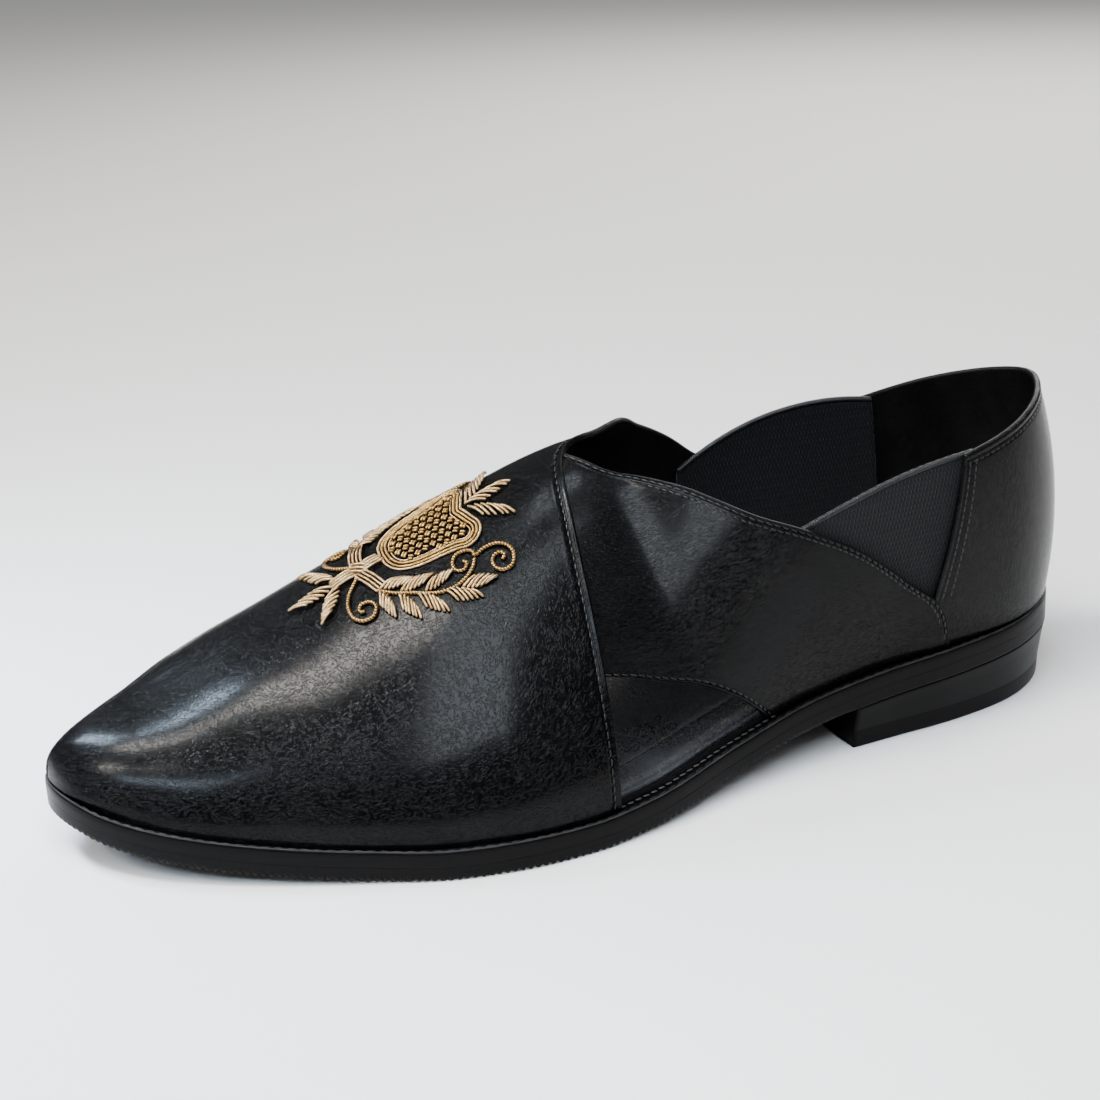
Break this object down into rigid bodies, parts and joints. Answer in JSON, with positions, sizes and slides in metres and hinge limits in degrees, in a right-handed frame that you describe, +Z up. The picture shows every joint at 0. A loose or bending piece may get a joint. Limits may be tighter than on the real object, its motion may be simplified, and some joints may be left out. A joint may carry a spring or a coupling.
{
  "type": "peshawari chappal",
  "caption": "Left peshawari chappal: closed pointed toe, crossed leather panels over cut-out sides, counter with elastic gores, stacked sole and low heel.",
  "frame": {"origin": "On the floor, under the middle of the shoe's box.", "axes": "+Z up, +Y from the toe to the heel, +X toward the outer side of the left foot."},
  "size_m": [0.1049, 0.305, 0.0927],
  "materials": {
    "outsole_rubber": "matt black moulded rubber",
    "midsole_rubber": "satin black edge",
    "insole_leather": "black lining leather",
    "upper_leather": "polished black grain leather",
    "elastic": "black ribbed elastic"
  },
  "bodies": {
    "root": {"outsole": "outsole_rubber", "midsole": "midsole_rubber", "heel": "outsole_rubber", "insole": "insole_leather", "upper": "upper_leather", "gore_lateral": "elastic", "gore_medial": "elastic"}
  },
  "joints": []
}
